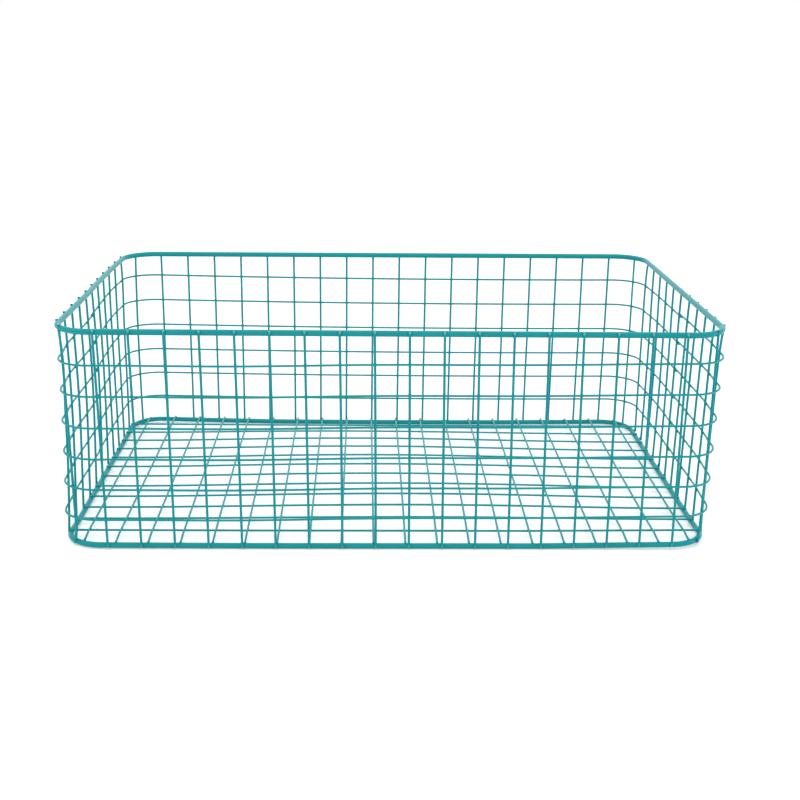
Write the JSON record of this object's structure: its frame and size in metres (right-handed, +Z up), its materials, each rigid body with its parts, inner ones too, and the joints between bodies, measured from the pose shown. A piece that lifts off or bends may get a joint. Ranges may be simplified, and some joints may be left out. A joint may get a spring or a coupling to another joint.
{
  "type": "wire drawer basket",
  "caption": "Rectangular welded wire drawer basket with rounded corners, a heavy round-wire top rim and base ring, and a fine wire mesh of walls and base.",
  "frame": {"origin": "on the standing surface, under the middle of the basket", "axes": "+X along the basket's length, +Y from front to back, +Z up"},
  "size_m": [0.6136, 0.3896, 0.209],
  "materials": {
    "teal_powder_coat": "satin powder coat"
  },
  "bodies": {
    "root": {"top_rim_left": "teal_powder_coat", "top_rim_right": "teal_powder_coat", "base_ring_left": "teal_powder_coat", "base_ring_right": "teal_powder_coat", "front_wall_comb": "teal_powder_coat", "front_left_corner_upright": "teal_powder_coat", "front_right_corner_upright": "teal_powder_coat", "front_left_side_comb": "teal_powder_coat", "front_right_side_comb": "teal_powder_coat", "back_wall_comb": "teal_powder_coat", "back_left_corner_upright": "teal_powder_coat", "back_right_corner_upright": "teal_powder_coat", "back_left_side_comb": "teal_powder_coat", "back_right_side_comb": "teal_powder_coat", "left_middle_upright": "teal_powder_coat", "right_middle_upright": "teal_powder_coat", "front_loop_1": "teal_powder_coat", "front_loop_2": "teal_powder_coat", "front_loop_3": "teal_powder_coat", "front_loop_4": "teal_powder_coat", "front_loop_5": "teal_powder_coat", "back_loop_1": "teal_powder_coat", "back_loop_2": "teal_powder_coat", "back_loop_3": "teal_powder_coat", "back_loop_4": "teal_powder_coat", "back_loop_5": "teal_powder_coat", "long_base_wire_01": "teal_powder_coat", "long_base_wire_02": "teal_powder_coat", "long_base_wire_03": "teal_powder_coat", "long_base_wire_04": "teal_powder_coat", "long_base_wire_05": "teal_powder_coat", "long_base_wire_06": "teal_powder_coat", "long_base_wire_07": "teal_powder_coat", "long_base_wire_08": "teal_powder_coat", "long_base_wire_09": "teal_powder_coat", "long_base_wire_10": "teal_powder_coat", "long_base_wire_11": "teal_powder_coat", "long_base_wire_12": "teal_powder_coat", "cross_base_wire_01": "teal_powder_coat", "cross_base_wire_02": "teal_powder_coat", "cross_base_wire_03": "teal_powder_coat", "cross_base_wire_04": "teal_powder_coat", "cross_base_wire_05": "teal_powder_coat", "cross_base_wire_06": "teal_powder_coat", "cross_base_wire_07": "teal_powder_coat", "cross_base_wire_08": "teal_powder_coat", "cross_base_wire_09": "teal_powder_coat", "cross_base_wire_10": "teal_powder_coat", "cross_base_wire_11": "teal_powder_coat", "cross_base_wire_12": "teal_powder_coat", "cross_base_wire_13": "teal_powder_coat", "cross_base_wire_14": "teal_powder_coat", "cross_base_wire_15": "teal_powder_coat", "cross_base_wire_16": "teal_powder_coat", "cross_base_wire_17": "teal_powder_coat", "cross_base_wire_18": "teal_powder_coat", "cross_base_wire_19": "teal_powder_coat", "cross_base_wire_20": "teal_powder_coat"}
  },
  "joints": []
}
